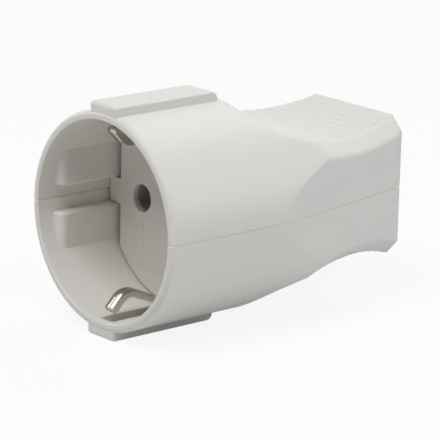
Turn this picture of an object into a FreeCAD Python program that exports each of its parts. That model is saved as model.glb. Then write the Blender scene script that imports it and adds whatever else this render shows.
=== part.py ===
"""In-line mains socket for a cord end: two half shells closed round a contact carrier.

Frame: the origin is the middle of the recess mouth, +Y runs along the axis from the mouth to the
cord inlet, and +Z points up through the upper earth clip. All sizes are in millimetres or degrees.
"""
import FreeCAD
import Part
import Sketcher
import math
import os
import re
from FreeCAD import Placement, Rotation, Vector

SIZES = {
    # Barrel and plug recess
    "recess_radius": 19.9,
    "recess_depth": 17.8,
    "wall": 1.72,
    "rim_round": 0.95,
    "rim_inner_round": 0.3,
    # Key blocks at the sides of the recess
    "key_rise": 2.7,
    "key_groove": 2.7,
    "key_front": 3.8,
    "key_round": 1.6,
    "key_edge": 0.6,
    # Pads on the top and the bottom of the barrel
    "pad_half_width": 4.0,
    "pad_front": 0.2,
    "pad_front_round": 0.7,
    "upper_pad_gap": 0.8,
    "lower_pad_gap": 1.4,
    "pad_height": 1.53,
    "pad_end_round": 1.4,
    "upper_pad_round": 0.35,
    "lower_pad_round": 0.5,
    # Pocket in the wall behind each earth clip
    "clip_pocket_front": 1.8,
    "clip_room": 1.2,
    "clip_side_room": 0.2,
    # Tail with flat flanks and concave finger scoops
    "body_length": 65.8,
    "rear_half_width": 14.2,
    "flank_start": 28.5,
    "tail_bevel": 2.9,
    "bevel_round": 1.2,
    "rear_round": 0.25,
    "upper_scoop_low": 14.3,
    "upper_scoop_floor": 12.48,
    "upper_lift_radius": 49.3,
    "lower_scoop_low": 13.3,
    "lower_scoop_floor": 12.14,
    "lower_lift_radius": 38.7,
    "upper_ramp_room": 2.2,
    "lower_ramp_room": 2.9,
    "ramp_radius": 11.2,
    "ramp_rise": 14.15,
    "rear_wall": 2.5,
    "parting_chamfer": 0.2,
    # Grip ribs on the scoops
    "rib_count": 7,
    "rib_pitch": 2.35,
    "rib_radius": 1.6,
    "rib_height": 0.13,
    "rib_root": 0.15,
    "rib_margin": 0.2,
    # Cord inlet
    "inlet_radius": 5.0,
    "inlet_flare": 1.0,
    # Contact carrier
    "seam": 0.45,
    "key_gap": 1.2,
    "fit": 0.15,
    "face_thickness": 3.0,
    "flange_step": 0.65,
    "flange_thickness": 1.5,
    "pin_pitch": 19.0,
    "pin_hole_radius": 2.8,
    "pin_hole_lead": 0.15,
    "pin_hole_wall": 1.4,
    "panel_half_width": 8.8,
    "panel_high": 5.0,
    "panel_low": 14.4,
    "panel_depth": 0.08,
    "tube_radius": 5.7,
    "tube_bore": 4.3,
    "boss_half_width": 3.2,
    "boss_half_height": 6.0,
    "boss_length": 1.6,
    # Contact sleeves with their wire terminals
    "sleeve_radius": 3.5,
    "sleeve_bore": 2.45,
    "sleeve_gap": 3.3,
    "sleeve_mouth": 0.5,
    "pin_room": 0.6,
    "slit_width": 0.7,
    "slit_root": 3.5,
    "collar_radius": 5.7,
    "collar_length": 1.5,
    "terminal_half": 4.0,
    "terminal_round": 1.0,
    "terminal_length": 9.0,
    "wire_bore_radius": 1.7,
    "wire_bore_depth": 7.5,
    # Spring rings round the sleeves
    "ring_thickness": 0.45,
    "ring_width": 4.0,
    "ring_place": 1.2,
    "ring_gap": 1.6,
    "thread_play": 0.05,
    # Folded earth bracket with its two clips
    "strip_half_width": 1.6,
    "strip_thickness": 1.6,
    "strip_edge": 0.75,
    "strip_bend": 2.0,
    "arm_sink": 0.2,
    "arm_gap": 0.4,
    "apex_place": 6.1,
    "apex_reach": 5.35,
    "apex_bend": 3.4,
    "tip_place": 2.6,
    "tip_inset": 1.7,
    "tip_round": 0.55,
    "lug_half_width": 3.2,
    "lug_half_height": 5.0,
    # Earth terminal
    "earth_shank_radius": 1.5,
    "earth_shank_length": 4.8,
    "earth_hole_depth": 2.6,
    "earth_head_radius": 2.9,
    "earth_head_height": 2.0,
    "clamp_plate_half_width": 3.1,
    "clamp_plate_half_height": 3.6,
    "clamp_plate_thickness": 1.0,
    # Terminal screws
    "terminal_shank_radius": 1.75,
    "terminal_shank_length": 4.4,
    "terminal_head_radius": 2.75,
    "terminal_head_height": 2.0,
    "terminal_head_lift": 0.8,
    # Cord clamp
    "cord_radius": 4.3,
    "clamp_place": 7.1,
    "clamp_width": 7.0,
    "clamp_crown": 6.0,
    "clamp_ear": 3.2,
    "clamp_half_length": 11.2,
    "clamp_crown_half": 4.4,
    "clamp_ear_inner": 5.2,
    "clamp_seat": 0.6,
    "clamp_screw_offset": 8.2,
    "clamp_boss_radius": 2.6,
    "clamp_shank_radius": 1.5,
    "clamp_shank_length": 11.0,
    "clamp_head_radius": 2.7,
    "clamp_head_height": 1.9,
    "saddle_half_thickness": 1.0,
    # Housing screws
    "housing_screw_offset": 11.0,
    "housing_screw_place": 13.8,
    "housing_boss_radius": 3.9,
    "housing_boss_room": 1.0,
    "pillar_radius": 3.0,
    "housing_shank_radius": 1.45,
    "housing_shank_length": 14.0,
    "housing_head_radius": 2.7,
    "housing_head_height": 2.0,
    "head_seat": 8.2,
    # Props under the wire terminals
    "prop_half_width": 3.2,
    "prop_half_thickness": 1.0,
    # Screw heads and ends
    "slot_width": 0.8,
    "slot_depth": 1.0,
    "screw_edge": 0.35,
    "thread_room": 0.8,
}

# Sizes worked out from the driving ones, as sheet expressions
BARREL = "(recess_radius + wall)"
FLANK_SLOPE = f"(({BARREL} - rear_half_width) / (body_length - flank_start))"
FACE_BACK = "(recess_depth + face_thickness)"
FLANGE_FRONT = f"({FACE_BACK} - flange_thickness)"
HOUSING_SCREW_Y = "(body_length - housing_screw_place)"
CLAMP_Y = "(body_length - clamp_place)"
TERMINAL_END = f"({HOUSING_SCREW_Y} - housing_boss_radius - housing_boss_room)"
TUBE_END = f"({TERMINAL_END} - terminal_length - collar_length)"
SLEEVE_LENGTH = f"({TUBE_END} - {FACE_BACK} - sleeve_gap)"
WEB_FRONT = f"({FACE_BACK} + boss_length)"
WEB_MIDDLE = f"({WEB_FRONT} + strip_thickness / 2)"
WEB_BACK = f"({WEB_FRONT} + strip_thickness)"
WALL_MIDDLE = "(recess_radius + wall / 2)"
KEY_FLAT = "(recess_radius - key_rise)"
KEY_TOP = f"sqrt({WALL_MIDDLE} ^ 2 - {KEY_FLAT} ^ 2)"
PAD_TOP = f"({BARREL} + pad_height)"
ARM_HEIGHT = "(recess_radius + arm_sink - strip_thickness / 2)"
POCKET_HEIGHT = "(recess_radius + arm_sink + clip_room)"
PIN_OFFSET = "(pin_pitch / 2)"
TERMINAL_MIDDLE = f"({TERMINAL_END} - terminal_length / 2)"
HOLLOW_BEVEL = "(tail_bevel - wall * (2 - sqrt(2)))"
FLOOR_SHARE = 0.75
MARGIN = 1.0
SIDES = {"upper": 1, "lower": -1}

# The scoop's arc, found from the ramp's arc in front of it and its own lowest point
SCOOPS = {}
for half in SIDES:
    SCOOPS[f"{half}_ramp_end"] = f"{WEB_BACK} + {half}_ramp_room"
    SCOOPS[f"{half}_ramp_place"] = (
        f"{half}_ramp_end + sqrt(ramp_radius ^ 2 - ({half}_scoop_floor + ramp_rise - {BARREL}) ^ 2)"
    )
    SCOOPS[f"{half}_scoop_place"] = f"body_length - {half}_scoop_low"
    SCOOPS[f"{half}_scoop_run"] = f"{half}_scoop_place - {half}_ramp_place"
    SCOOPS[f"{half}_scoop_radius"] = (
        f"({half}_scoop_run ^ 2 + ramp_rise ^ 2 - ramp_radius ^ 2) / (2 * (ramp_rise - ramp_radius))"
    )

CELLS = SIZES | {alias: f"={formula}" for alias, formula in SCOOPS.items()}

doc = FreeCAD.newDocument("in_line_socket")
sheet = doc.addObject("Spreadsheet::Sheet", "sizes")
for row, (alias, content) in enumerate(CELLS.items(), start=1):
    sheet.set(f"A{row}", alias)
    sheet.set(f"B{row}", str(content))
    sheet.setAlias(f"B{row}", alias)
doc.recompute()


def bound(expression):
    """Point each size's name in an expression at its cell."""
    return re.sub(r"[a-z_]+", lambda word: f"sizes.{word[0]}" if word[0] in CELLS else word[0], expression)


def size(expression):
    """Work out an expression of sizes as a number."""
    return float(sheet.evalExpression(bound(str(expression))))


def tie(item, prop, expression):
    """Bind a property to an expression of sizes."""
    item.setExpression(prop, bound(str(expression)))


def new_body(name):
    """Start a sub-part that carries its own label."""
    body = doc.addObject("PartDesign::Body", name)
    body.Label = name
    return body


def origin_plane(body, role):
    """Find one of a body's own origin planes."""
    return next(item for item in body.Origin.OriginFeatures if item.Role == role)


def sketch_on(body, name, role, offset=None):
    """Attach a sketch to an origin plane, moved along the plane's normal by an offset."""
    sketch = body.newObject("Sketcher::SketchObject", name)
    sketch.AttachmentSupport = [(origin_plane(body, role), "")]
    sketch.MapMode = "FlatFace"
    if offset is not None:
        tie(sketch, "AttachmentOffset.Base.z", offset)
    doc.recompute()
    return sketch


def pin_point(sketch, item, end, x, y):
    """Hold a sketch point at a pair of expressions."""
    for kind, axis, expression in (("DistanceX", -2, x), ("DistanceY", -1, y)):
        number = size(expression)
        if abs(number) < 1e-9:
            sketch.addConstraint(Sketcher.Constraint("PointOnObject", item, end, axis))
            continue
        place = sketch.addConstraint(Sketcher.Constraint(kind, -1, 1, item, end, number))
        tie(sketch, f"Constraints[{place}]", expression)


def arc_between(start, end, radius):
    """Short arc from start to end; a positive radius turns left, a negative one right."""
    chord = end - start
    middle = (start + end) * 0.5
    left = Vector(-chord.y, chord.x, 0).normalize()
    reach = math.sqrt(radius * radius - chord.Length ** 2 / 4)
    centre = middle + left * math.copysign(reach, radius)
    circle = Part.Circle(centre, Vector(0, 0, 1), abs(radius))
    first, last = (start, end) if radius > 0 else (end, start)
    return Part.ArcOfCircle(circle, circle.parameter(first), circle.parameter(last))


def outline(sketch, corners):
    """Draw a closed outline; a corner is (x, y), or (x, y, radius) where an arc ends there."""
    points = [Vector(size(corner[0]), size(corner[1]), 0) for corner in corners]
    ends = []
    for index, corner in enumerate(corners):
        start, end = points[index - 1], points[index]
        if len(corner) == 2:
            item = sketch.addGeometry(Part.LineSegment(start, end))
            ends.append((item, 1, 2))
            continue
        radius = size(corner[2])
        item = sketch.addGeometry(arc_between(start, end, radius))
        ends.append((item, 1, 2) if radius > 0 else (item, 2, 1))
    for index, (item, begin, finish) in enumerate(ends):
        before, _, before_finish = ends[index - 1]
        sketch.addConstraint(Sketcher.Constraint("Coincident", before, before_finish, item, begin))
    for corner, (item, begin, finish) in zip(corners, ends):
        pin_point(sketch, item, finish, corner[0], corner[1])
        if len(corner) == 3:
            radius = sketch.addConstraint(Sketcher.Constraint("Radius", item, abs(size(corner[2]))))
            tie(sketch, f"Constraints[{radius}]", f"abs({corner[2]})")


def circle(sketch, x, y, radius):
    """Draw a circle whose middle and radius are expressions."""
    centre = Vector(size(x), size(y), 0)
    item = sketch.addGeometry(Part.Circle(centre, Vector(0, 0, 1), size(radius)))
    pin_point(sketch, item, 3, x, y)
    place = sketch.addConstraint(Sketcher.Constraint("Radius", item, size(radius)))
    tie(sketch, f"Constraints[{place}]", radius)


def rectangle(sketch, left, right, low, high):
    """Draw a rectangle between expressions."""
    outline(sketch, [(left, low), (right, low), (right, high), (left, high)])


def extrude(body, kind, sketch, length=None, reverse=False, both=False):
    """Pad or pocket a sketch by a length, or right through when no length is given."""
    feature = body.newObject(f"PartDesign::{kind}", f"{sketch.Name}_{kind.lower()}")
    feature.Profile = sketch
    feature.Reversed = reverse
    feature.SideType = "Symmetric" if both else "One side"
    if length is None:
        feature.Type = "ThroughAll"
    else:
        feature.Type = "Length"
        tie(feature, "Length", length)
    doc.recompute()
    return feature


def revolve(body, kind, sketch, axis="V_Axis"):
    """Turn a sketch once round one of its own axes, to add or to remove material."""
    feature = body.newObject(f"PartDesign::{kind}", f"{sketch.Name}_{kind.lower()}")
    feature.Profile = sketch
    feature.ReferenceAxis = (sketch, [axis])
    feature.Angle = 360
    doc.recompute()
    return feature


def soften(body, kind, amount, chosen):
    """Fillet or chamfer the edges of the body's tip that the chosen test accepts."""
    base = body.Tip
    names = [f"Edge{place}" for place, edge in enumerate(base.Shape.Edges, start=1) if chosen(edge)]
    feature = body.newObject(f"PartDesign::{kind}", f"{body.Name}_{kind.lower()}")
    feature.Base = (base, names)
    tie(feature, "Radius" if kind == "Fillet" else "Size", amount)
    doc.recompute()
    return feature


def along(edge, test):
    """Say whether both ends and the middle of an edge pass a test on a point."""
    first, last = edge.ParameterRange
    return all(test(edge.valueAt(first + share * (last - first))) for share in (0, 0.5, 1))


def near(number, expression):
    """Say whether a coordinate equals an expression of sizes."""
    return abs(number - size(expression)) < 1e-4


def bent_path(sketch, corners):
    """Draw an open path of straight runs; a corner (x, y, radius) is rounded by a tangent arc."""
    points = [Vector(size(corner[0]), size(corner[1]), 0) for corner in corners]
    start = points[0]
    runs = []
    arcs = []
    for before, here, after, corner in zip(points, points[1:], points[2:], corners[1:]):
        back = (before - here).normalize()
        ahead = (after - here).normalize()
        radius = size(corner[2])
        reach = radius / math.tan(back.getAngle(ahead) / 2)
        turn = math.copysign(radius, ahead.cross(back).z)
        runs.append(sketch.addGeometry(Part.LineSegment(start, here + back * reach)))
        start = here + ahead * reach
        arcs.append((sketch.addGeometry(arc_between(here + back * reach, start, turn)), turn, corner[2]))
    runs.append(sketch.addGeometry(Part.LineSegment(start, points[-1])))
    pin_point(sketch, runs[0], 1, *corners[0][:2])
    pin_point(sketch, runs[-1], 2, *corners[-1][:2])
    for place, (arc, turn, radius) in enumerate(arcs):
        begin, finish = (1, 2) if turn > 0 else (2, 1)
        sketch.addConstraint(Sketcher.Constraint("Tangent", runs[place], 2, arc, begin))
        sketch.addConstraint(Sketcher.Constraint("Tangent", arc, finish, runs[place + 1], 1))
        held = sketch.addConstraint(Sketcher.Constraint("Radius", arc, abs(turn)))
        tie(sketch, f"Constraints[{held}]", radius)
        knee = sketch.addGeometry(Part.Point(points[place + 1]), True)
        pin_point(sketch, knee, 1, *corners[place + 1][:2])
        sketch.addConstraint(Sketcher.Constraint("PointOnObject", knee, 1, runs[place]))
        sketch.addConstraint(Sketcher.Constraint("PointOnObject", knee, 1, runs[place + 1]))


def flank_at(place, inset):
    """Half width of the tapered flanks at a place along the axis, moved in by an inset."""
    return f"({BARREL} - {FLANK_SLOPE} * ({place} - flank_start) - ({inset}) * sqrt(1 + {FLANK_SLOPE} ^ 2))"


def cut_flanks(body, side, inset):
    """Cut both tapered flanks of one half, moved in by an inset."""
    flanks = sketch_on(body, f"{body.Name}_flanks", "XY_Plane")
    start = "(flank_start - recess_radius)"
    end = f"(body_length + {MARGIN})"
    for hand in (-1, 1):
        outline(flanks, [
            (f"{hand} * {flank_at(start, inset)}", start),
            (f"{hand} * 2 * {BARREL}", start),
            (f"{hand} * 2 * {BARREL}", end),
            (f"{hand} * {flank_at(end, inset)}", end),
        ])
    extrude(body, "Pocket", flanks, reverse=side > 0)


def bevel_tail(body, inset, bevel):
    """Bevel the long edges between the scoop and the flanks, and give back the test that finds them."""
    def on_flank(point):
        return near(abs(point.x), flank_at(point.y, inset)) and abs(point.z) > MARGIN

    def chosen(edge):
        ends = [vertex.Y for vertex in edge.Vertexes]
        return max(ends) - min(ends) > MARGIN and max(ends) > size("flank_start") and along(edge, on_flank)

    soften(body, "Chamfer", bevel, chosen)
    return chosen


def scoop_height(half, place):
    """Height of one half's scoop at a place between the ramp and the scoop's lowest point."""
    radius = f"{half}_scoop_radius"
    return f"({half}_scoop_floor + {radius} - sqrt({radius} ^ 2 - ({half}_scoop_place - {place}) ^ 2))"


def round_rear(body):
    """Round the outer edges of the tail's end face."""
    def on_end(point):
        return near(point.y, "body_length")

    def chosen(edge):
        return along(edge, on_end) and max(abs(vertex.Z) for vertex in edge.Vertexes) > MARGIN

    soften(body, "Fillet", "rear_round", chosen)


def housing_form(body, half, front, rear, inset):
    """Pad one half of the housing's side outline, or of its hollow's when inset by a wall.

    The outline is the barrel's height, the ramp behind the pad, and the scoop: three arcs that meet
    tangentially, the last of them lifting the scoop's floor towards the tail's end.
    """
    side = SIDES[half]
    low = f"{half}_scoop_place"
    floor = f"{half}_scoop_floor"
    scoop = f"{half}_scoop_radius"
    lift = f"({half}_lift_radius + {inset})"
    top = f"({BARREL} + {MARGIN})"
    ramp = f"(ramp_radius + {inset})"
    reach = f"(({scoop} + {inset}) / ({scoop} - ramp_radius))"
    ramp_start = f"({half}_ramp_place - sqrt({ramp} ^ 2 - ({floor} + ramp_rise - {top}) ^ 2))"
    meet_y = f"({low} - {half}_scoop_run * {reach})"
    meet_z = f"({floor} + {scoop} - ({scoop} - ramp_rise) * {reach})"
    rear_z = f"({floor} + {half}_lift_radius - sqrt({lift} ^ 2 - ({rear} - {low}) ^ 2))"
    profile = sketch_on(body, f"{body.Name}_side_outline", "YZ_Plane")
    outline(profile, [
        (front, "0"),
        (front, f"{side} * {top}"),
        (ramp_start, f"{side} * {top}"),
        (meet_y, f"{side} * {meet_z}", f"{side} * {ramp}"),
        (low, f"{side} * ({floor} - {inset})", f"{side} * ({scoop} + {inset})"),
        (rear, f"{side} * {rear_z}", f"{side} * {lift}"),
        (rear, "0"),
    ])
    extrude(body, "Pad", profile, f"2 * {top}", both=True)


def trim_to_barrel(body, inset, rounded):
    """Remove what stands outside the round barrel, with a rounded rim where asked for."""
    radius = f"({BARREL} - {inset})"
    far = f"(2 * {BARREL})"
    back = f"(body_length + {MARGIN})"
    trim = sketch_on(body, f"{body.Name}_barrel_trim", "XY_Plane")
    mouth = [(radius, -MARGIN)]
    if rounded:
        mouth = [(f"{radius} - rim_round", -MARGIN), (f"{radius} - rim_round", "0")]
        mouth.append((radius, "rim_round", "rim_round"))
    outline(trim, mouth + [(radius, back), (far, back), (far, -MARGIN)])
    revolve(body, "Groove", trim)


def hollow(half):
    """Build the hollow of one half shell behind the contact carrier."""
    body = new_body(f"{half}_hollow")
    housing_form(body, half, f"({FACE_BACK} - {MARGIN})", "(body_length - rear_wall)", "wall")
    cut_flanks(body, SIDES[half], "wall")
    bevel_tail(body, "wall", HOLLOW_BEVEL)
    trim_to_barrel(body, "wall", rounded=False)
    return body


def cut_recess(body):
    """Turn out the plug recess, with the groove that holds the carrier's flange."""
    recess = sketch_on(body, f"{body.Name}_recess", "XY_Plane")
    outline(recess, [
        ("0", -MARGIN),
        ("recess_radius + rim_inner_round", -MARGIN),
        ("recess_radius + rim_inner_round", "0"),
        ("recess_radius", "rim_inner_round", "-rim_inner_round"),
        ("recess_radius", f"{FLANGE_FRONT} - fit"),
        ("recess_radius + flange_step", f"{FLANGE_FRONT} - fit"),
        ("recess_radius + flange_step", f"{FACE_BACK} + fit"),
        ("0", f"{FACE_BACK} + fit"),
    ])
    revolve(body, "Groove", recess)


def add_key_blocks(body, side):
    """Add the two key blocks of one half, with rounded fronts and softened groove edges."""
    keys = sketch_on(body, f"{body.Name}_keys", "XY_Plane", f"{side} * key_groove")
    for hand in (-1, 1):
        outline(keys, [
            (f"{hand} * {WALL_MIDDLE}", "key_front"),
            (f"{hand} * ({KEY_FLAT} + key_round)", "key_front"),
            (f"{hand} * {KEY_FLAT}", "key_front + key_round", f"{-hand} * key_round"),
            (f"{hand} * {KEY_FLAT}", FACE_BACK),
            (f"{hand} * {WALL_MIDDLE}", FACE_BACK),
        ])
    extrude(body, "Pad", keys, f"{KEY_TOP} - key_groove", reverse=side < 0)

    def at_groove(point):
        inner = -1e-4 < abs(point.x) - size(KEY_FLAT) < size("key_round") + 1e-4
        return inner and near(abs(point.z), "key_groove")

    soften(body, "Fillet", "key_edge", lambda edge: along(edge, at_groove))


def add_pad(body, half):
    """Add the flat pad outside the barrel, and the pocket for the earth clip inside it."""
    side = SIDES[half]
    base = f"({side} * (recess_radius + wall / 4))"
    top = f"({side} * {PAD_TOP})"
    end = f"({half}_ramp_end - {half}_pad_gap)"
    pad = sketch_on(body, f"{body.Name}_pad", "YZ_Plane")
    outline(pad, [
        ("pad_front", base),
        ("pad_front", f"{top} - {side} * pad_front_round"),
        ("pad_front + pad_front_round", top, f"{-side} * pad_front_round"),
        (f"{end} - pad_end_round", top),
        (end, f"{top} - {side} * pad_end_round", f"{-side} * pad_end_round"),
        (end, base),
    ])
    extrude(body, "Pad", pad, "2 * pad_half_width", both=True)

    def on_crown(point):
        lowest = size(f"{PAD_TOP} - pad_end_round") - 1e-4
        return near(abs(point.x), "pad_half_width") and abs(point.z) > lowest

    soften(body, "Fillet", f"{half}_pad_round", lambda edge: along(edge, on_crown))
    pocket = sketch_on(body, f"{body.Name}_clip_pocket", "XY_Plane", f"{side} * {POCKET_HEIGHT}")
    room = "(strip_half_width + clip_side_room)"
    rectangle(pocket, f"-{room}", room, "clip_pocket_front", WEB_BACK)
    extrude(body, "Pocket", pocket, f"{POCKET_HEIGHT} - {ARM_HEIGHT}", reverse=side < 0)


def bevel_parting(body):
    """Bevel the outer edges of the parting plane, which leaves a fine line along both sides."""
    def outside(point):
        reach = min(size(BARREL), size(flank_at(point.y, "0")))
        return abs(point.z) < 1e-4 and abs(abs(point.x) - reach) < 1e-4

    soften(body, "Chamfer", "parting_chamfer", lambda edge: along(edge, outside))


def add_ribs(body, half):
    """Add the low grip ribs, spaced round the axis of the scoop's rear arc and cut to the tail's taper."""
    side = SIDES[half]
    low = f"{half}_scoop_place"
    radius = f"{half}_lift_radius"
    root = f"({radius} + rib_root)"
    rise = "(rib_height + rib_root)"
    spread = f"(sqrt(2 * rib_radius * {rise} - {rise} ^ 2) / {root} * 180 / pi)"
    for place in range(int(size("rib_count"))):
        reach = f"({place - 1} * rib_pitch)"
        turn = f"({reach} / {radius} * 180 / pi)"
        front = f"({turn} - {spread})"
        back = f"({turn} + {spread})"
        rib = sketch_on(body, f"{body.Name}_rib_{place}", "YZ_Plane")
        tie(rib, "AttachmentOffset.Base.x", low)
        tie(rib, "AttachmentOffset.Base.y", f"{side} * ({half}_scoop_floor + {radius})")
        outline(rib, [
            (f"{root} * sin({front})", f"{-side} * {root} * cos({front})"),
            (f"{root} * sin({back})", f"{-side} * {root} * cos({back})", f"{-side} * rib_radius"),
        ])
        flank = flank_at(f"({low} + {reach})", "0")
        extrude(body, "Pad", rib, f"2 * ({flank} - tail_bevel - rib_margin)", both=True)


def cut_inlet(body):
    """Turn the cord inlet through the rear wall, flared towards the outside."""
    inlet = sketch_on(body, f"{body.Name}_inlet", "XY_Plane")
    inside = f"(body_length - rear_wall - {MARGIN})"
    outlet = f"(body_length + {MARGIN})"
    outline(inlet, [
        ("0", inside),
        ("inlet_radius", inside),
        ("inlet_radius", "body_length - inlet_flare"),
        ("inlet_radius + inlet_flare", "body_length", "-inlet_flare"),
        ("inlet_radius + inlet_flare", outlet),
        ("0", outlet),
    ])
    revolve(body, "Groove", inlet)


def post(body, name, top, radius, x, y, foot, side):
    """Add a pair of round posts from a height to the floor of one half."""
    sketch = sketch_on(body, f"{body.Name}_{name}", "XY_Plane", top)
    for hand in (-1, 1):
        circle(sketch, f"{hand} * {x}", y, radius)
    extrude(body, "Pad", sketch, foot, reverse=side < 0)


def drill(body, name, top, radius, x, y, depth, reverse):
    """Drill a pair of holes from a height, by a depth or right through."""
    sketch = sketch_on(body, f"{body.Name}_{name}", "XY_Plane", top)
    for hand in (-1, 1):
        circle(sketch, f"{hand} * {x}", y, radius)
    extrude(body, "Pocket", sketch, depth, reverse=reverse)


def shell(half):
    """Build what both half shells share."""
    side = SIDES[half]
    body = new_body(f"{half}_shell")
    housing_form(body, half, "0", "body_length", "0")
    cut_flanks(body, side, "0")
    bevelled = bevel_tail(body, "0", "tail_bevel")
    soften(body, "Fillet", "bevel_round", bevelled)
    round_rear(body)
    cavity = body.newObject("PartDesign::Boolean", f"{half}_cavity")
    cavity.Type = "Cut"
    cavity.setObjects([hollow(half)])
    doc.recompute()
    cut_recess(body)
    add_key_blocks(body, side)
    trim_to_barrel(body, "0", rounded=True)
    bevel_parting(body)
    add_pad(body, half)
    add_ribs(body, half)
    cut_inlet(body)
    return body


def upper_shell():
    """Upper half: pillars with pilot holes take the housing screws."""
    body = shell("upper")
    foot = f"upper_scoop_floor - wall * (1 - {FLOOR_SHARE})"
    place = ("housing_screw_offset", HOUSING_SCREW_Y)
    post(body, "pillars", "0", "pillar_radius", *place, foot, 1)
    depth = "housing_shank_length - head_seat + thread_room"
    drill(body, "pilots", "0", "housing_shank_radius + thread_play", *place, depth, True)
    return body


def lower_shell():
    """Lower half: bosses for both pairs of screws, a cord saddle and props under the terminals."""
    body = shell("lower")
    foot = f"(lower_scoop_floor - wall * (1 - {FLOOR_SHARE}))"
    housing = ("housing_screw_offset", HOUSING_SCREW_Y)
    clamp = ("clamp_screw_offset", CLAMP_Y)
    post(body, "bosses", "0", "housing_boss_radius", *housing, foot, -1)
    post(body, "clamp_bosses", "clamp_seat", "clamp_boss_radius", *clamp, f"{foot} + clamp_seat", -1)
    saddle = sketch_on(body, "cord_saddle", "XY_Plane")
    rectangle(saddle, "-clamp_screw_offset", "clamp_screw_offset",
              f"{CLAMP_Y} - saddle_half_thickness", f"{CLAMP_Y} + saddle_half_thickness")
    extrude(body, "Pad", saddle, foot, reverse=True)
    cord = sketch_on(body, "cord_way", "XZ_Plane", f"-({CLAMP_Y} - clamp_width / 2)")
    circle(cord, "0", "0", "cord_radius")
    extrude(body, "Pocket", cord, "clamp_width")
    props = sketch_on(body, "terminal_props", "XY_Plane", "-(terminal_half + fit)")
    for hand in (-1, 1):
        middle = f"{hand} * {PIN_OFFSET}"
        rectangle(props, f"{middle} - prop_half_width", f"{middle} + prop_half_width",
                  f"{TERMINAL_MIDDLE} - prop_half_thickness", f"{TERMINAL_MIDDLE} + prop_half_thickness")
    prop_foot = f"({scoop_height('lower', TERMINAL_MIDDLE)} - wall * (1 - {FLOOR_SHARE}))"
    extrude(body, "Pad", props, f"{prop_foot} - terminal_half - fit", reverse=True)
    drill(body, "screw_ways", "0", "housing_shank_radius + fit", *housing, None, False)
    drill(body, "screw_seats", "-head_seat", "housing_head_radius + fit", *housing, None, False)
    depth = "clamp_shank_length - clamp_ear + thread_room"
    drill(body, "clamp_pilots", "clamp_seat", "clamp_shank_radius + thread_play", *clamp, depth, False)
    return body


def contact_carrier():
    """Moulded insert: a face with two pin holes, a flange, and a tube round each contact."""
    body = new_body("contact_carrier")
    face = sketch_on(body, "carrier_face", "XZ_Plane", "-recess_depth")
    circle(face, "0", "0", "recess_radius - seam")
    extrude(body, "Pad", face, "face_thickness", reverse=True)
    flange = sketch_on(body, "carrier_flange", "XZ_Plane", f"-{FLANGE_FRONT}")
    circle(flange, "0", "0", "recess_radius + flange_step - fit")
    extrude(body, "Pad", flange, "flange_thickness", reverse=True)
    notches = sketch_on(body, "carrier_notches", "XZ_Plane", "-recess_depth")
    for hand in (-1, 1):
        for side in (-1, 1):
            rectangle(notches, f"{hand} * ({KEY_FLAT} - key_gap)", f"{hand} * 2 * {BARREL}",
                      f"{side} * (key_groove - fit)", f"{side} * ({KEY_TOP} + fit)")
    extrude(body, "Pocket", notches)
    channels = sketch_on(body, "earth_channels", "XZ_Plane", "-recess_depth")
    for side in (-1, 1):
        rectangle(channels, "-(strip_half_width + 2 * fit)", "strip_half_width + 2 * fit",
                  f"{side} * ({ARM_HEIGHT} - strip_thickness / 2 - 2 * fit)", f"{side} * 2 * {BARREL}")
    extrude(body, "Pocket", channels)
    tubes = sketch_on(body, "contact_tubes", "XZ_Plane", f"-{FACE_BACK}")
    bores = sketch_on(body, "contact_bores", "XZ_Plane", "-(recess_depth + pin_hole_wall)")
    holes = sketch_on(body, "pin_holes", "XZ_Plane", "-recess_depth")
    for hand in (-1, 1):
        circle(tubes, f"{hand} * {PIN_OFFSET}", "0", "tube_radius")
        circle(bores, f"{hand} * {PIN_OFFSET}", "0", "tube_bore")
        circle(holes, f"{hand} * {PIN_OFFSET}", "0", "pin_hole_radius")
    extrude(body, "Pad", tubes, f"{TUBE_END} - {FACE_BACK}", reverse=True)
    boss = sketch_on(body, "earth_boss", "XZ_Plane", f"-{FACE_BACK}")
    rectangle(boss, "-boss_half_width", "boss_half_width", "-boss_half_height", "boss_half_height")
    extrude(body, "Pad", boss, "boss_length", reverse=True)
    extrude(body, "Pocket", bores, f"{TUBE_END} - recess_depth - pin_hole_wall")
    extrude(body, "Pocket", holes, "face_thickness")
    panel = sketch_on(body, "face_panel", "XZ_Plane", "-recess_depth")
    rectangle(panel, "-panel_half_width", "panel_half_width", "-panel_low", "-panel_high")
    extrude(body, "Pocket", panel, "panel_depth")
    shank = sketch_on(body, "earth_screw_room", "XZ_Plane", f"-{WEB_FRONT}")
    circle(shank, "0", "0", "earth_shank_radius + fit")
    extrude(body, "Pocket", shank, "earth_hole_depth", reverse=True)

    def at_hole_mouth(point):
        reach = math.hypot(abs(point.x) - size(PIN_OFFSET), point.z)
        return near(point.y, "recess_depth") and near(reach, "pin_hole_radius")

    soften(body, "Chamfer", "pin_hole_lead", lambda edge: along(edge, at_hole_mouth))
    return body


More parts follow.
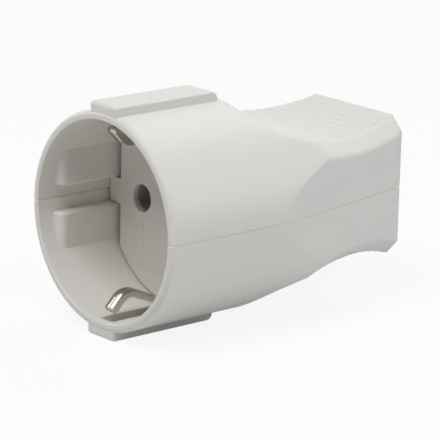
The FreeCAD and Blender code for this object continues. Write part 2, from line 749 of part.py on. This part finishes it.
def contact(name, hand):
    """Turned contact: a slit sleeve, a collar that seats on the tube, and a terminal block."""
    body = new_body(name)
    turned = sketch_on(body, f"{name}_turned", "XY_Plane")
    outline(turned, [
        ("sleeve_bore + sleeve_mouth", f"-{SLEEVE_LENGTH}"),
        ("sleeve_radius", f"-{SLEEVE_LENGTH}"),
        ("sleeve_radius", "0"),
        ("collar_radius", "0"),
        ("collar_radius", "collar_length"),
        ("0", "collar_length"),
        ("0", "pin_room"),
        ("sleeve_bore", "pin_room"),
        ("sleeve_bore", f"sleeve_mouth - {SLEEVE_LENGTH}"),
    ])
    revolve(body, "Revolution", turned)
    block = sketch_on(body, f"{name}_block", "XZ_Plane", "-collar_length")
    rectangle(block, "-terminal_half", "terminal_half", "-terminal_half", "terminal_half")
    extrude(body, "Pad", block, "terminal_length", reverse=True)

    def on_corner(point):
        return near(abs(point.x), "terminal_half") and near(abs(point.z), "terminal_half")

    soften(body, "Fillet", "terminal_round", lambda edge: along(edge, on_corner))
    for turn, (half_x, half_z) in enumerate((("slit_width / 2", "2 * sleeve_radius"),
                                             ("2 * sleeve_radius", "slit_width / 2"))):
        slit = sketch_on(body, f"{name}_slit_{turn}", "XZ_Plane", SLEEVE_LENGTH)
        rectangle(slit, f"-({half_x})", half_x, f"-({half_z})", half_z)
        extrude(body, "Pocket", slit, f"{SLEEVE_LENGTH} - slit_root")
    wire = sketch_on(body, f"{name}_wire_bore", "XZ_Plane", "-(collar_length + terminal_length)")
    circle(wire, "0", "0", "wire_bore_radius")
    extrude(body, "Pocket", wire, "wire_bore_depth", reverse=True)
    thread = sketch_on(body, f"{name}_thread", "XY_Plane", "terminal_half")
    circle(thread, "0", "collar_length + terminal_length / 2", "terminal_shank_radius + thread_play")
    extrude(body, "Pocket", thread, "terminal_half")
    tie(body, "Placement.Base.x", f"{hand} * {PIN_OFFSET}")
    tie(body, "Placement.Base.y", TUBE_END)
    return body


def spring_ring(name, hand):
    """Open ring of spring strip that closes a sleeve's tines on the pin."""
    body = new_body(name)
    ring = sketch_on(body, f"{name}_section", "XZ_Plane")
    circle(ring, "0", "0", "sleeve_radius + thread_play")
    circle(ring, "0", "0", "sleeve_radius + thread_play + ring_thickness")
    extrude(body, "Pad", ring, "ring_width", reverse=True)
    gap = sketch_on(body, f"{name}_gap", "XZ_Plane")
    rectangle(gap, "-ring_gap / 2", "ring_gap / 2", "0", "2 * sleeve_radius")
    extrude(body, "Pocket", gap)
    tie(body, "Placement.Base.x", f"{hand} * {PIN_OFFSET}")
    tie(body, "Placement.Base.y", f"{TUBE_END} - {SLEEVE_LENGTH} + ring_place")
    return body


def earth_bracket():
    """Folded strip: a web across the back of the carrier and a sprung clip at each end."""
    body = new_body("earth_bracket")
    path = sketch_on(body, "strip_path", "YZ_Plane")
    bent_path(path, [
        (WEB_MIDDLE, "0"),
        (WEB_MIDDLE, ARM_HEIGHT, "strip_bend"),
        ("recess_depth - arm_gap", ARM_HEIGHT, "strip_bend"),
        ("apex_place", "recess_radius - apex_reach", "apex_bend"),
        ("tip_place", "recess_radius - tip_inset"),
    ])
    section = sketch_on(body, "strip_section", "XY_Plane")
    front, back = WEB_FRONT, WEB_BACK
    side = "strip_half_width"
    outline(section, [
        (f"{side} - strip_edge", front),
        (side, f"{front} + strip_edge", "strip_edge"),
        (side, f"{back} - strip_edge"),
        (f"{side} - strip_edge", back, "strip_edge"),
        (f"-{side} + strip_edge", back),
        (f"-{side}", f"{back} - strip_edge", "strip_edge"),
        (f"-{side}", f"{front} + strip_edge"),
        (f"-{side} + strip_edge", front, "strip_edge"),
    ])
    strip = body.newObject("PartDesign::AdditivePipe", "strip")
    strip.Profile = section
    strip.Spine = path
    doc.recompute()
    mirrored = body.newObject("PartDesign::Mirrored", "strip_pair")
    mirrored.Originals = [strip]
    mirrored.MirrorPlane = (origin_plane(body, "XY_Plane"), [""])
    body.Tip = mirrored
    doc.recompute()

    def at_tip(edge):
        return max(vertex.Y for vertex in edge.Vertexes) < size("tip_place + strip_thickness")

    soften(body, "Fillet", "tip_round", at_tip)
    lug = sketch_on(body, "earth_lug", "XZ_Plane", f"-{WEB_FRONT}")
    rectangle(lug, "-lug_half_width", "lug_half_width", "-lug_half_height", "lug_half_height")
    extrude(body, "Pad", lug, "strip_thickness", reverse=True)
    hole = sketch_on(body, "earth_lug_hole", "XZ_Plane", f"-{WEB_FRONT}")
    circle(hole, "0", "0", "earth_shank_radius + thread_play")
    extrude(body, "Pocket", hole, "strip_thickness")
    return body


def earth_clamp_plate():
    """Square plate under the earth screw."""
    body = new_body("earth_clamp_plate")
    plate = sketch_on(body, "clamp_plate_outline", "XZ_Plane", f"-{WEB_BACK}")
    rectangle(plate, "-clamp_plate_half_width", "clamp_plate_half_width",
              "-clamp_plate_half_height", "clamp_plate_half_height")
    circle(plate, "0", "0", "earth_shank_radius + fit")
    extrude(body, "Pad", plate, "clamp_plate_thickness", reverse=True)
    return body


def screw(name, kind):
    """Slotted screw along its own Z axis, with its head above the origin."""
    body = new_body(name)
    shank = f"{kind}_shank_radius"
    length = f"{kind}_shank_length"
    head = f"{kind}_head_radius"
    height = f"{kind}_head_height"
    turned = sketch_on(body, f"{name}_turned", "XZ_Plane")
    outline(turned, [
        ("0", f"-{length}"),
        (f"{shank} - screw_edge", f"-{length}"),
        (shank, f"screw_edge - {length}"),
        (shank, "0"),
        (head, "0"),
        (head, f"{height} - screw_edge"),
        (f"{head} - screw_edge", height),
        ("0", height),
    ])
    revolve(body, "Revolution", turned)
    slot = sketch_on(body, f"{name}_slot", "XY_Plane", height)
    rectangle(slot, f"-2 * {head}", f"2 * {head}", "-slot_width / 2", "slot_width / 2")
    extrude(body, "Pocket", slot, "slot_depth")
    return body


def place_at(item, x, y, z, turn=None):
    """Place a sub-part at expressions, turned about X by an angle where one is given."""
    if turn is not None:
        item.Placement = Placement(Vector(), Rotation(Vector(1, 0, 0), turn))
    for axis, expression in zip("xyz", (x, y, z)):
        tie(item, f"Placement.Base.{axis}", expression)
    doc.recompute()


def pair(name, first):
    """Join a screw and its mirror image across the middle plane in one group."""
    second = doc.addObject("Part::Mirroring", f"{name}_second")
    second.Source = first
    second.Normal = Vector(1, 0, 0)
    group = doc.addObject("Part::Compound", name)
    group.Links = [first, second]
    group.Label = name
    doc.recompute()
    return group


def terminal_screws():
    """Screws that press the wires in the two terminal blocks."""
    first = screw("terminal_screw", "terminal")
    place_at(first, PIN_OFFSET, TERMINAL_MIDDLE, "terminal_half + terminal_head_lift")
    return pair("terminal_screws", first)


def earth_screw():
    """Screw of the earth terminal, driven from the cord's side."""
    body = screw("earth_screw", "earth")
    place_at(body, "0", f"{WEB_BACK} + clamp_plate_thickness", "0", -90)
    return body


def cord_clamp():
    """Moulded bar that arches over the cord between its two ears."""
    body = new_body("cord_clamp")
    start = "sqrt(cord_radius ^ 2 - clamp_seat ^ 2)"
    ear = "(clamp_seat + clamp_ear)"
    crown = "(clamp_seat + clamp_crown)"
    bar = sketch_on(body, "clamp_outline", "XZ_Plane", f"-({CLAMP_Y} - clamp_width / 2)")
    outline(bar, [
        ("-clamp_half_length", "clamp_seat"),
        (f"-{start}", "clamp_seat"),
        (start, "clamp_seat", "-cord_radius"),
        ("clamp_half_length", "clamp_seat"),
        ("clamp_half_length", ear),
        ("clamp_ear_inner", ear),
        ("clamp_crown_half", crown),
        ("-clamp_crown_half", crown),
        ("-clamp_ear_inner", ear),
        ("-clamp_half_length", ear),
    ])
    extrude(body, "Pad", bar, "clamp_width", reverse=True)
    place = ("clamp_screw_offset", CLAMP_Y)
    drill(body, "screw_holes", "0", "clamp_shank_radius + fit", *place, None, True)
    return body


def cord_clamp_screws():
    """Screws that pull the clamp down on the cord."""
    first = screw("cord_clamp_screw", "clamp")
    place_at(first, "clamp_screw_offset", CLAMP_Y, "clamp_seat + clamp_ear")
    return pair("cord_clamp_screws", first)


def housing_screws():
    """Screws that hold the half shells together, driven from below."""
    first = screw("housing_screw", "housing")
    place_at(first, "housing_screw_offset", HOUSING_SCREW_Y, "-head_seat", 180)
    return pair("housing_screws", first)


def write_parts(nodes):
    """Check every object and sub-part, then write one file for each sub-part."""
    doc.recompute()
    for item in doc.Objects:
        if "Invalid" in item.State or "Error" in item.State:
            raise RuntimeError(f"{item.Label} failed: {item.State}")
    for item in nodes:
        if item.Shape.isNull() or not item.Shape.isValid():
            raise RuntimeError(f"{item.Label} has no valid shape")
    os.makedirs("parts", exist_ok=True)
    for item in nodes:
        item.Shape.exportStep(f"parts/{item.Label}.step")
        print(f"{item.Label}: {len(item.Shape.Solids)} solids, {item.Shape.Volume:.1f} mm3")


write_parts([
    upper_shell(),
    lower_shell(),
    contact_carrier(),
    contact("live_contact", -1),
    contact("neutral_contact", 1),
    spring_ring("live_spring_ring", -1),
    spring_ring("neutral_spring_ring", 1),
    terminal_screws(),
    earth_bracket(),
    earth_clamp_plate(),
    earth_screw(),
    cord_clamp(),
    cord_clamp_screws(),
    housing_screws(),
])
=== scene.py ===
"""Dresses the in-line power socket and sets it in a light studio.

The moulded half shells, the contact carrier, the contacts, the earth strip and the screws come from
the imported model. This script gives each of them its finish, adds the floor and the lamps, and looks
at the socket from the photograph's angle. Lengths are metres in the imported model's frame: +Y runs
from the recess mouth to the cord inlet and +Z points up.
"""
import logging
import math
from dataclasses import dataclass
from enum import Enum
from typing import Any, Mapping, Union

import bpy
import numpy as np
from mathutils import Matrix, Vector


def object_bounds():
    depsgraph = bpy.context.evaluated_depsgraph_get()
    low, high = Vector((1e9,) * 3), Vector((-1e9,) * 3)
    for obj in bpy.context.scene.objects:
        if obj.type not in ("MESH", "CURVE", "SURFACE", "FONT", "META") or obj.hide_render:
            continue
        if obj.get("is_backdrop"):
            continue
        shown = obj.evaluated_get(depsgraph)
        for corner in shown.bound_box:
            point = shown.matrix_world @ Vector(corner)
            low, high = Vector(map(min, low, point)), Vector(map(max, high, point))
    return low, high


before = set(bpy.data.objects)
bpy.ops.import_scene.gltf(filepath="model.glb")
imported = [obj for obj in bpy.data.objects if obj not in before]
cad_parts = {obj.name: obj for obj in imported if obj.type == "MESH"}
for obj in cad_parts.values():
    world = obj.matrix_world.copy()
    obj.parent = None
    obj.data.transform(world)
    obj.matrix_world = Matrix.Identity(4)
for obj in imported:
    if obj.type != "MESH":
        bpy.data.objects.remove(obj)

log = logging.getLogger("in_line_socket")

Colour = tuple[float, float, float]
Point = tuple[float, float, float]
Number = Union[float, "Wire"]

WHITE: Colour = (1.0, 1.0, 1.0)
SOFT_DETAIL = 2.0
FINE_DETAIL = 3.0


class Wire:
    """A shader socket that takes part in Python arithmetic; each operation adds one Math node."""

    def __init__(self, graph: "Graph", socket: bpy.types.NodeSocket | None) -> None:
        """Keep the socket and the graph that it belongs to.

        Args:
            graph: The graph that new nodes are added to.
            socket: The output socket that carries the value; an output node has none.
        """
        self.graph = graph
        self.socket = socket

    def _maths(self, operation: str, first: Number, second: Number) -> "Wire":
        """Add a Math node for two operands."""
        return self.graph.node("ShaderNodeMath", {"operation": operation}, {0: first, 1: second})

    def __add__(self, other: Number) -> "Wire":
        """Sum of this value and another."""
        return self._maths("ADD", self, other)

    def __radd__(self, other: float) -> "Wire":
        """Sum with a number on the left."""
        return self._maths("ADD", other, self)

    def __sub__(self, other: Number) -> "Wire":
        """This value less another."""
        return self._maths("SUBTRACT", self, other)

    def __rsub__(self, other: float) -> "Wire":
        """A number less this value."""
        return self._maths("SUBTRACT", other, self)

    def __mul__(self, other: Number) -> "Wire":
        """Product of this value and another."""
        return self._maths("MULTIPLY", self, other)

    def __rmul__(self, other: float) -> "Wire":
        """Product with a number on the left."""
        return self._maths("MULTIPLY", other, self)

    def __or__(self, other: Number) -> "Wire":
        """The larger of this value and another."""
        return self._maths("MAXIMUM", self, other)

    def __abs__(self) -> "Wire":
        """This value without its sign."""
        return self.graph.node("ShaderNodeMath", {"operation": "ABSOLUTE"}, {0: self})


class Graph:
    """The node graph of one material or of the world."""

    def __init__(self, owner: Union[bpy.types.Material, bpy.types.World]) -> None:
        """Start an empty graph on a material or on the world.

        Args:
            owner: The data block whose nodes are replaced.
        """
        owner.use_nodes = True
        self.tree = owner.node_tree
        self.tree.nodes.clear()

    def node(
        self,
        kind: str,
        settings: Mapping[str, Any] | None = None,
        sockets: Mapping[Union[str, int], Any] | None = None,
        output: Union[str, int] = 0,
    ) -> Wire:
        """Add a node, set it up and connect it.

        Args:
            kind: The node's Blender type.
            settings: Attributes to set first.
            sockets: Input names or places with the numbers, colours or wires that go there.
            output: Name or place of the output that is handed back.

        Returns:
            The chosen output as a wire.
        """
        made = self.tree.nodes.new(kind)
        for name, value in (settings or {}).items():
            setattr(made, name, value)
        for name, value in (sockets or {}).items():
            if isinstance(value, Wire):
                self.tree.links.new(value.socket, made.inputs[name])
            else:
                made.inputs[name].default_value = value
        return Wire(self, made.outputs[output] if made.outputs else None)

    def mix(self, share: Number, first: Colour, second: Colour) -> Wire:
        """Mix two colours by a share; inputs 6 and 7 and output 2 are the node's colours."""
        sockets = {0: share, 6: rgba(first), 7: rgba(second)}
        return self.node("ShaderNodeMix", {"data_type": "RGBA"}, sockets, output=2)

    def mix_normal(self, share: Number, first: Wire, second: Wire) -> Wire:
        """Mix two normals by a share; inputs 4 and 5 and output 1 are the node's vectors."""
        sockets = {0: share, 4: first, 5: second}
        return self.node("ShaderNodeMix", {"data_type": "VECTOR"}, sockets, output=1)

    def place(self, scale: Point = (1.0, 1.0, 1.0)) -> Wire:
        """Object coordinates, stretched by a scale along each axis."""
        coordinates = self.node("ShaderNodeTexCoord", output="Object")
        return self.node("ShaderNodeMapping", None, {"Vector": coordinates, "Scale": scale})

    def noise(self, place: Wire, scale: float, detail: float) -> Wire:
        """Fractal noise between 0 and 1; scale is in cells a metre."""
        sockets = {"Vector": place, "Scale": scale, "Detail": detail}
        return self.node("ShaderNodeTexNoise", None, sockets)

    def axis(self, name: str) -> Wire:
        """One of the object coordinates X, Y and Z, in metres."""
        coordinates = self.node("ShaderNodeTexCoord", output="Object")
        return self.node("ShaderNodeSeparateXYZ", None, {"Vector": coordinates}, output=name)

    def rise(self, value: Wire, low: float, high: float) -> Wire:
        """Smooth rise from 0 at one value to 1 at another."""
        sockets = {"Value": value, "From Min": low, "From Max": high}
        return self.node("ShaderNodeMapRange", {"interpolation_type": "SMOOTHSTEP"}, sockets)

    def bump(
        self, height: Wire, distance: float, strength: float, normal: Wire | None = None
    ) -> Wire:
        """Turn a height field into a normal.

        Args:
            height: The height between 0 and 1.
            distance: The depth in metres that a height of 1 stands for.
            strength: The share of the full effect.
            normal: The normal that the heights stand on; none takes the mesh's own.

        Returns:
            The normal of the uneven surface.
        """
        sockets: dict[str, Any] = {"Height": height, "Distance": distance, "Strength": strength}
        if normal is not None:
            sockets["Normal"] = normal
        return self.node("ShaderNodeBump", None, sockets)

    def surface(self, shader: Wire) -> None:
        """Lead a shader to the material's output."""
        self.node("ShaderNodeOutputMaterial", None, {"Surface": shader})


def rgba(colour: Colour) -> tuple[float, float, float, float]:
    """Colour with a full alpha."""
    return (*colour, 1.0)


@dataclass(frozen=True)
class MouldedPlastic:
    """Satin injection moulding: an even colour with a fine eroded tool texture."""

    name: str
    colour: Colour
    shade: Colour
    roughness: float = 0.42
    specular: float = 0.42
    drift_cells: float = 60.0
    drift_gloss: float = 0.06
    grain_cells: float = 2600.0
    grain_gloss: float = 0.10
    grain_depth: float = 0.000012
    grain_strength: float = 0.5

    def material(self) -> bpy.types.Material:
        """Build the moulding's material.

        Returns:
            A material whose colour drifts a little over centimetres and whose gloss breaks up in a
            fine grain.
        """
        made = bpy.data.materials.new(self.name)
        graph = Graph(made)
        place = graph.place()
        drift = graph.noise(place, self.drift_cells, SOFT_DETAIL)
        grain = graph.noise(place, self.grain_cells, FINE_DETAIL)
        unevenness = self.grain_gloss * (grain - 0.5) + self.drift_gloss * (drift - 0.5)
        sockets = {
            "Base Color": graph.mix(drift, self.shade, self.colour),
            "Roughness": self.roughness + unevenness,
            "Normal": graph.bump(grain, self.grain_depth, self.grain_strength, self.form(graph)),
            "Specular IOR Level": self.specular,
        }
        graph.surface(graph.node("ShaderNodeBsdfPrincipled", None, sockets))
        return made

    def form(self, graph: Graph) -> Wire | None:
        """Base normal under the grain; none leaves the mesh's own."""
        return None


@dataclass(frozen=True)
class HousingPlastic(MouldedPlastic):
    """Moulding of the half shells: soft edges on the tail beside crisp ribs and a parting line."""

    edge_radius: float = 0.0016
    edge_samples: int = 8
    tail_start: float = 0.025
    tail_fade: float = 0.003
    tail_end: float = 0.0658
    taper: float = 0.199
    rib_start: float = 0.048
    rib_fade: float = 0.001
    rib_half_width: float = 0.0109
    rib_side_fade: float = 0.0008
    parting_half_width: float = 0.0012
    parting_fade: float = 0.00072

    def form(self, graph: Graph) -> Wire:
        """Normal that rounds the tail's edges off, apart from its ribs and its parting line.

        Args:
            graph: The material's graph.

        Returns:
            The rounded normal where the edges are soft, and the mesh's own elsewhere.
        """
        across, along, upward = abs(graph.axis("X")), graph.axis("Y"), abs(graph.axis("Z"))
        tail = graph.rise(along, self.tail_start, self.tail_start + self.tail_fade)
        # The ribs' ends follow the flanks, which taper towards the tail's end.
        reach = across - self.taper * (self.tail_end - along)
        beside = graph.rise(reach, self.rib_half_width, self.rib_half_width + self.rib_side_fade)
        ribs = graph.rise(along, self.rib_start - self.rib_fade, self.rib_start) * (1.0 - beside)
        parting_edge = self.parting_half_width + self.parting_fade
        away = graph.rise(upward, self.parting_half_width, parting_edge)
        settings = {"samples": self.edge_samples}
        rounded = graph.node("ShaderNodeBevel", settings, {"Radius": self.edge_radius})
        plain = graph.node("ShaderNodeNewGeometry", output="Normal")
        return graph.mix_normal(tail * away * (1.0 - ribs), plain, rounded)


class Lay(Enum):
    """Direction of the marks that working leaves on a metal, as marks a metre on each axis."""

    ALONG = (400.0, 12000.0, 12000.0)
    ROUND = (1500.0, 14000.0, 1500.0)
    NONE = (3000.0, 3000.0, 3000.0)


@dataclass(frozen=True)
class WorkedMetal:
    """Metal with fine marks from drawing, turning or plating."""

    name: str
    colour: Colour
    tint: Colour
    roughness: float
    lay: Lay
    mark_gloss: float = 0.12
    mark_depth: float = 0.000006
    mark_strength: float = 0.4
    patch_cells: float = 260.0
    patch_gloss: float = 0.05

    def material(self) -> bpy.types.Material:
        """Build the metal's material.

        Returns:
            A material whose marks follow the lay and whose tint varies in soft patches.
        """
        made = bpy.data.materials.new(self.name)
        graph = Graph(made)
        marks = graph.noise(graph.place(self.lay.value), 1.0, FINE_DETAIL)
        patches = graph.noise(graph.place(), self.patch_cells, SOFT_DETAIL)
        unevenness = self.mark_gloss * (marks - 0.5) + self.patch_gloss * (patches - 0.5)
        sockets = {
            "Base Color": graph.mix(patches, self.tint, self.colour),
            "Metallic": 1.0,
            "Roughness": self.roughness + unevenness,
            "Normal": graph.bump(marks, self.mark_depth, self.mark_strength, self.form(graph)),
        }
        graph.surface(graph.node("ShaderNodeBsdfPrincipled", None, sockets))
        return made

    def form(self, graph: Graph) -> Wire | None:
        """Base normal under the marks; none leaves the mesh's own."""
        return None


@dataclass(frozen=True)
class CrownedStrip(WorkedMetal):
    """Plated strip whose broad faces are crowned a little by the stamping."""

    half_width: float = 0.0016
    crown: float = 0.0008

    def form(self, graph: Graph) -> Wire:
        """Normal of a face that falls off from its middle line with the distance squared."""
        across = graph.axis("X") * (1.0 / self.half_width)
        return graph.bump(1.0 - across * across, self.crown, 1.0)


SHELL_PLASTIC = HousingPlastic("shell_plastic", (0.80, 0.777, 0.717), (0.785, 0.762, 0.702))
CARRIER_PLASTIC = MouldedPlastic(
    "carrier_plastic", (0.78, 0.757, 0.697), (0.765, 0.742, 0.682), 0.46
)
CLAMP_PLASTIC = MouldedPlastic("clamp_plastic", (0.74, 0.72, 0.67), (0.72, 0.70, 0.65), 0.5)
# The contact brass is darker than bright brass: painted shade for the deep pin holes, on top of the
# contacts' own dull tone.
CONTACT_BRASS = WorkedMetal(
    "contact_brass", (0.42, 0.33, 0.19), (0.34, 0.26, 0.15), 0.36, Lay.ROUND
)
SPRING_STEEL = WorkedMetal(
    "spring_steel", (0.50, 0.50, 0.51), (0.45, 0.45, 0.46), 0.33, Lay.ROUND
)
SCREW_ZINC = WorkedMetal("screw_zinc", (0.70, 0.71, 0.72), (0.64, 0.66, 0.68), 0.32, Lay.NONE)
STRIP_NICKEL = CrownedStrip(
    "strip_nickel", (0.60, 0.57, 0.49), (0.50, 0.47, 0.39), 0.16, Lay.ALONG
)


def dress(node: str, material: bpy.types.Material) -> None:
    """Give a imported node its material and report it.

    Args:
        node: The node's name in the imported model.
        material: The material that covers all of it.
    """
    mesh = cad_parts[node].data
    mesh.materials.clear()
    mesh.materials.append(material)
    log.info("dressed %s with %s", node, material.name)


@dataclass
class Housing:
    """The two half shells with the screws that hold them together."""

    shells: tuple[str, str] = ("upper_shell", "lower_shell")
    screws: str = "housing_screws"

    def dress(self) -> None:
        """Finish the shells and their screws."""
        plastic = SHELL_PLASTIC.material()
        for shell in self.shells:
            dress(shell, plastic)
        dress(self.screws, SCREW_ZINC.material())


@dataclass
class Insert:
    """The contact carrier with the contacts, their springs and their terminal screws."""

    carrier: str = "contact_carrier"
    contacts: tuple[str, str] = ("live_contact", "neutral_contact")
    rings: tuple[str, str] = ("live_spring_ring", "neutral_spring_ring")
    screws: str = "terminal_screws"

    def dress(self) -> None:
        """Finish the carrier and the metal parts that it holds."""
        dress(self.carrier, CARRIER_PLASTIC.material())
        brass = CONTACT_BRASS.material()
        for contact in self.contacts:
            dress(contact, brass)
        steel = SPRING_STEEL.material()
        for ring in self.rings:
            dress(ring, steel)
        dress(self.screws, bpy.data.materials[SCREW_ZINC.name])


@dataclass
class EarthPath:
    """The folded earth strip with its clips and its terminal."""

    strip: str = "earth_bracket"
    terminal: tuple[str, str] = ("earth_clamp_plate", "earth_screw")

    def dress(self) -> None:
        """Finish the strip and its terminal."""
        dress(self.strip, STRIP_NICKEL.material())
        for piece in self.terminal:
            dress(piece, bpy.data.materials[SCREW_ZINC.name])


@dataclass
class CordGrip:
    """The clamp just inside the cord inlet."""

    bar: str = "cord_clamp"
    screws: str = "cord_clamp_screws"

    def dress(self) -> None:
        """Finish the bar and its screws."""
        dress(self.bar, CLAMP_PLASTIC.material())
        dress(self.screws, bpy.data.materials[SCREW_ZINC.name])


class Gel(Enum):
    """Tint of the sheet in front of a lamp."""

    COOL = (0.985, 0.995, 1.055)
    PALE = (0.985, 0.995, 1.038)
    WARM = (1.0, 0.985, 0.96)


@dataclass(frozen=True)
class Softbox:
    """One square soft lamp, turned towards the socket."""

    name: str
    place: Point
    width: float
    power: float
    gel: Gel

    def build(self, aim: Point) -> None:
        """Hang the lamp and turn it.

        Args:
            aim: The point that the lamp faces.
        """
        light = bpy.data.lights.new(self.name, "AREA")
        light.energy = self.power
        light.color = self.gel.value
        light.size = self.width
        lamp = bpy.data.objects.new(self.name, light)
        turn = (Vector(aim) - Vector(self.place)).to_track_quat("-Z", "Y")
        lamp.matrix_world = Matrix.LocRotScale(Vector(self.place), turn, None)
        bpy.context.scene.collection.objects.link(lamp)
        log.info("hung %s", self.name)


SOFTBOXES = (
    Softbox("front_softbox", (0.08, -0.43, 0.81), 0.5, 5.6, Gel.PALE),
    Softbox("right_softbox", (0.7, 0.03, 0.6), 0.5, 1.57, Gel.COOL),
    Softbox("rear_right_softbox", (0.55, 0.72, 0.26), 0.45, 1.78, Gel.COOL),
    Softbox("rear_softbox", (-0.17, 0.69, 0.6), 0.5, 1.85, Gel.PALE),
    Softbox("left_softbox", (-0.85, -0.15, 0.3), 0.3, 1.33, Gel.WARM),
)


@dataclass
class Studio:
    """Pale floor, soft lamps and the camera at the photograph's angle."""

    floor_height: float
    floor_reach: float = 1.6
    floor_paper: Colour = (0.8, 0.8, 0.8)
    floor_seen: Colour = (0.95, 0.95, 0.95)
    shadow_share: float = 0.12
    mirror_share: float = 0.9
    aim: Point = (0.0, 0.03, 0.0)
    azimuth: float = 0.853865
    elevation: float = 0.266914
    roll: float = 0.024250
    place: Point = (0.4237614, -0.3391438, 0.1493295)
    focal_px: float = 2941.37
    image_px: float = 440.0
    sensor: float = 36.0
    near: float = 0.01

    def build(self) -> None:
        """Add the floor, the light and the camera."""
        self._floor()
        self._world()
        for softbox in SOFTBOXES:
            softbox.build(self.aim)
        self._camera()

    def _floor(self) -> None:
        """Lay a square floor; cameras and mirrors see it nearly white, and it keeps the shadow."""
        corners = self.floor_reach * np.array([(-1, -1), (1, -1), (1, 1), (-1, 1)], dtype=float)
        points = np.column_stack((corners, np.full(len(corners), self.floor_height)))
        mesh = bpy.data.meshes.new("floor")
        mesh.from_pydata(points.tolist(), [], [(0, 1, 2, 3)])
        floor = bpy.data.objects.new("floor", mesh)
        bpy.context.scene.collection.objects.link(floor)
        made = bpy.data.materials.new("floor_paper")
        graph = Graph(made)
        camera, mirror = self._rays(graph)
        glow = graph.node("ShaderNodeEmission", None, {"Color": rgba(WHITE), "Strength": 1.0})
        pale = graph.node("ShaderNodeBsdfDiffuse", None, {"Color": rgba(self.floor_seen)})
        shadowed = self.shadow_share + (self.mirror_share - self.shadow_share) * mirror
        shown = graph.node("ShaderNodeMixShader", None, {0: shadowed, 1: glow, 2: pale})
        lit = graph.node("ShaderNodeBsdfDiffuse", None, {"Color": rgba(self.floor_paper)})
        mixed = {0: camera | mirror, 1: lit, 2: shown}
        graph.surface(graph.node("ShaderNodeMixShader", None, mixed))
        mesh.materials.append(made)
        floor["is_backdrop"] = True
        log.info("laid %s", floor.name)

    @staticmethod
    def _rays(graph: Graph) -> tuple[Wire, Wire]:
        """Tell apart the rays that see the backdrop from those that only carry light.

        Args:
            graph: The graph that the marks are added to.

        Returns:
            A mark for the camera's rays and one for those by way of a mirror or glass, each 1 or 0.
        """
        camera = graph.node("ShaderNodeLightPath", output="Is Camera Ray")
        mirror = graph.node("ShaderNodeLightPath", output="Is Glossy Ray")
        glass = graph.node("ShaderNodeLightPath", output="Is Transmission Ray")
        return camera, mirror | glass

    def _world(self) -> None:
        """Hang a white backdrop that the camera and mirrors see, and that gives no other light."""
        world = bpy.data.worlds.new("studio_backdrop")
        bpy.context.scene.world = world
        graph = Graph(world)
        camera, mirror = self._rays(graph)
        sockets = {"Color": rgba(WHITE), "Strength": camera | mirror}
        backdrop = graph.node("ShaderNodeBackground", None, sockets)
        graph.node("ShaderNodeOutputWorld", None, {"Surface": backdrop})

    def _camera(self) -> None:
        """Set up the camera from its azimuth, elevation, roll and place."""
        back = np.array((
            math.cos(self.elevation) * math.sin(self.azimuth),
            -math.cos(self.elevation) * math.cos(self.azimuth),
            math.sin(self.elevation),
        ))
        level = np.array((math.cos(self.azimuth), math.sin(self.azimuth), 0.0))
        upright = np.cross(back, level)
        right = math.cos(self.roll) * level + math.sin(self.roll) * upright
        upward = math.cos(self.roll) * upright - math.sin(self.roll) * level
        turn = np.eye(4)
        turn[:3, :3] = np.column_stack((right, upward, back))
        turn[:3, 3] = self.place
        lens = bpy.data.cameras.new("camera")
        lens.sensor_width = self.sensor
        lens.lens = self.focal_px / self.image_px * self.sensor
        lens.clip_start = self.near
        camera = bpy.data.objects.new("camera", lens)
        camera.matrix_world = Matrix(turn.tolist())
        bpy.context.scene.collection.objects.link(camera)
        bpy.context.scene.camera = camera


def main() -> None:
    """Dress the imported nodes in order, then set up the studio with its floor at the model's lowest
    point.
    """
    logging.basicConfig(level=logging.INFO, format="%(message)s")
    cad_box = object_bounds()
    for part in (Housing(), Insert(), EarthPath(), CordGrip()):
        part.dress()
    Studio(floor_height=float(cad_box[0][2])).build()
    bpy.context.scene.view_settings.view_transform = "Standard"


if __name__ == "__main__":
    main()
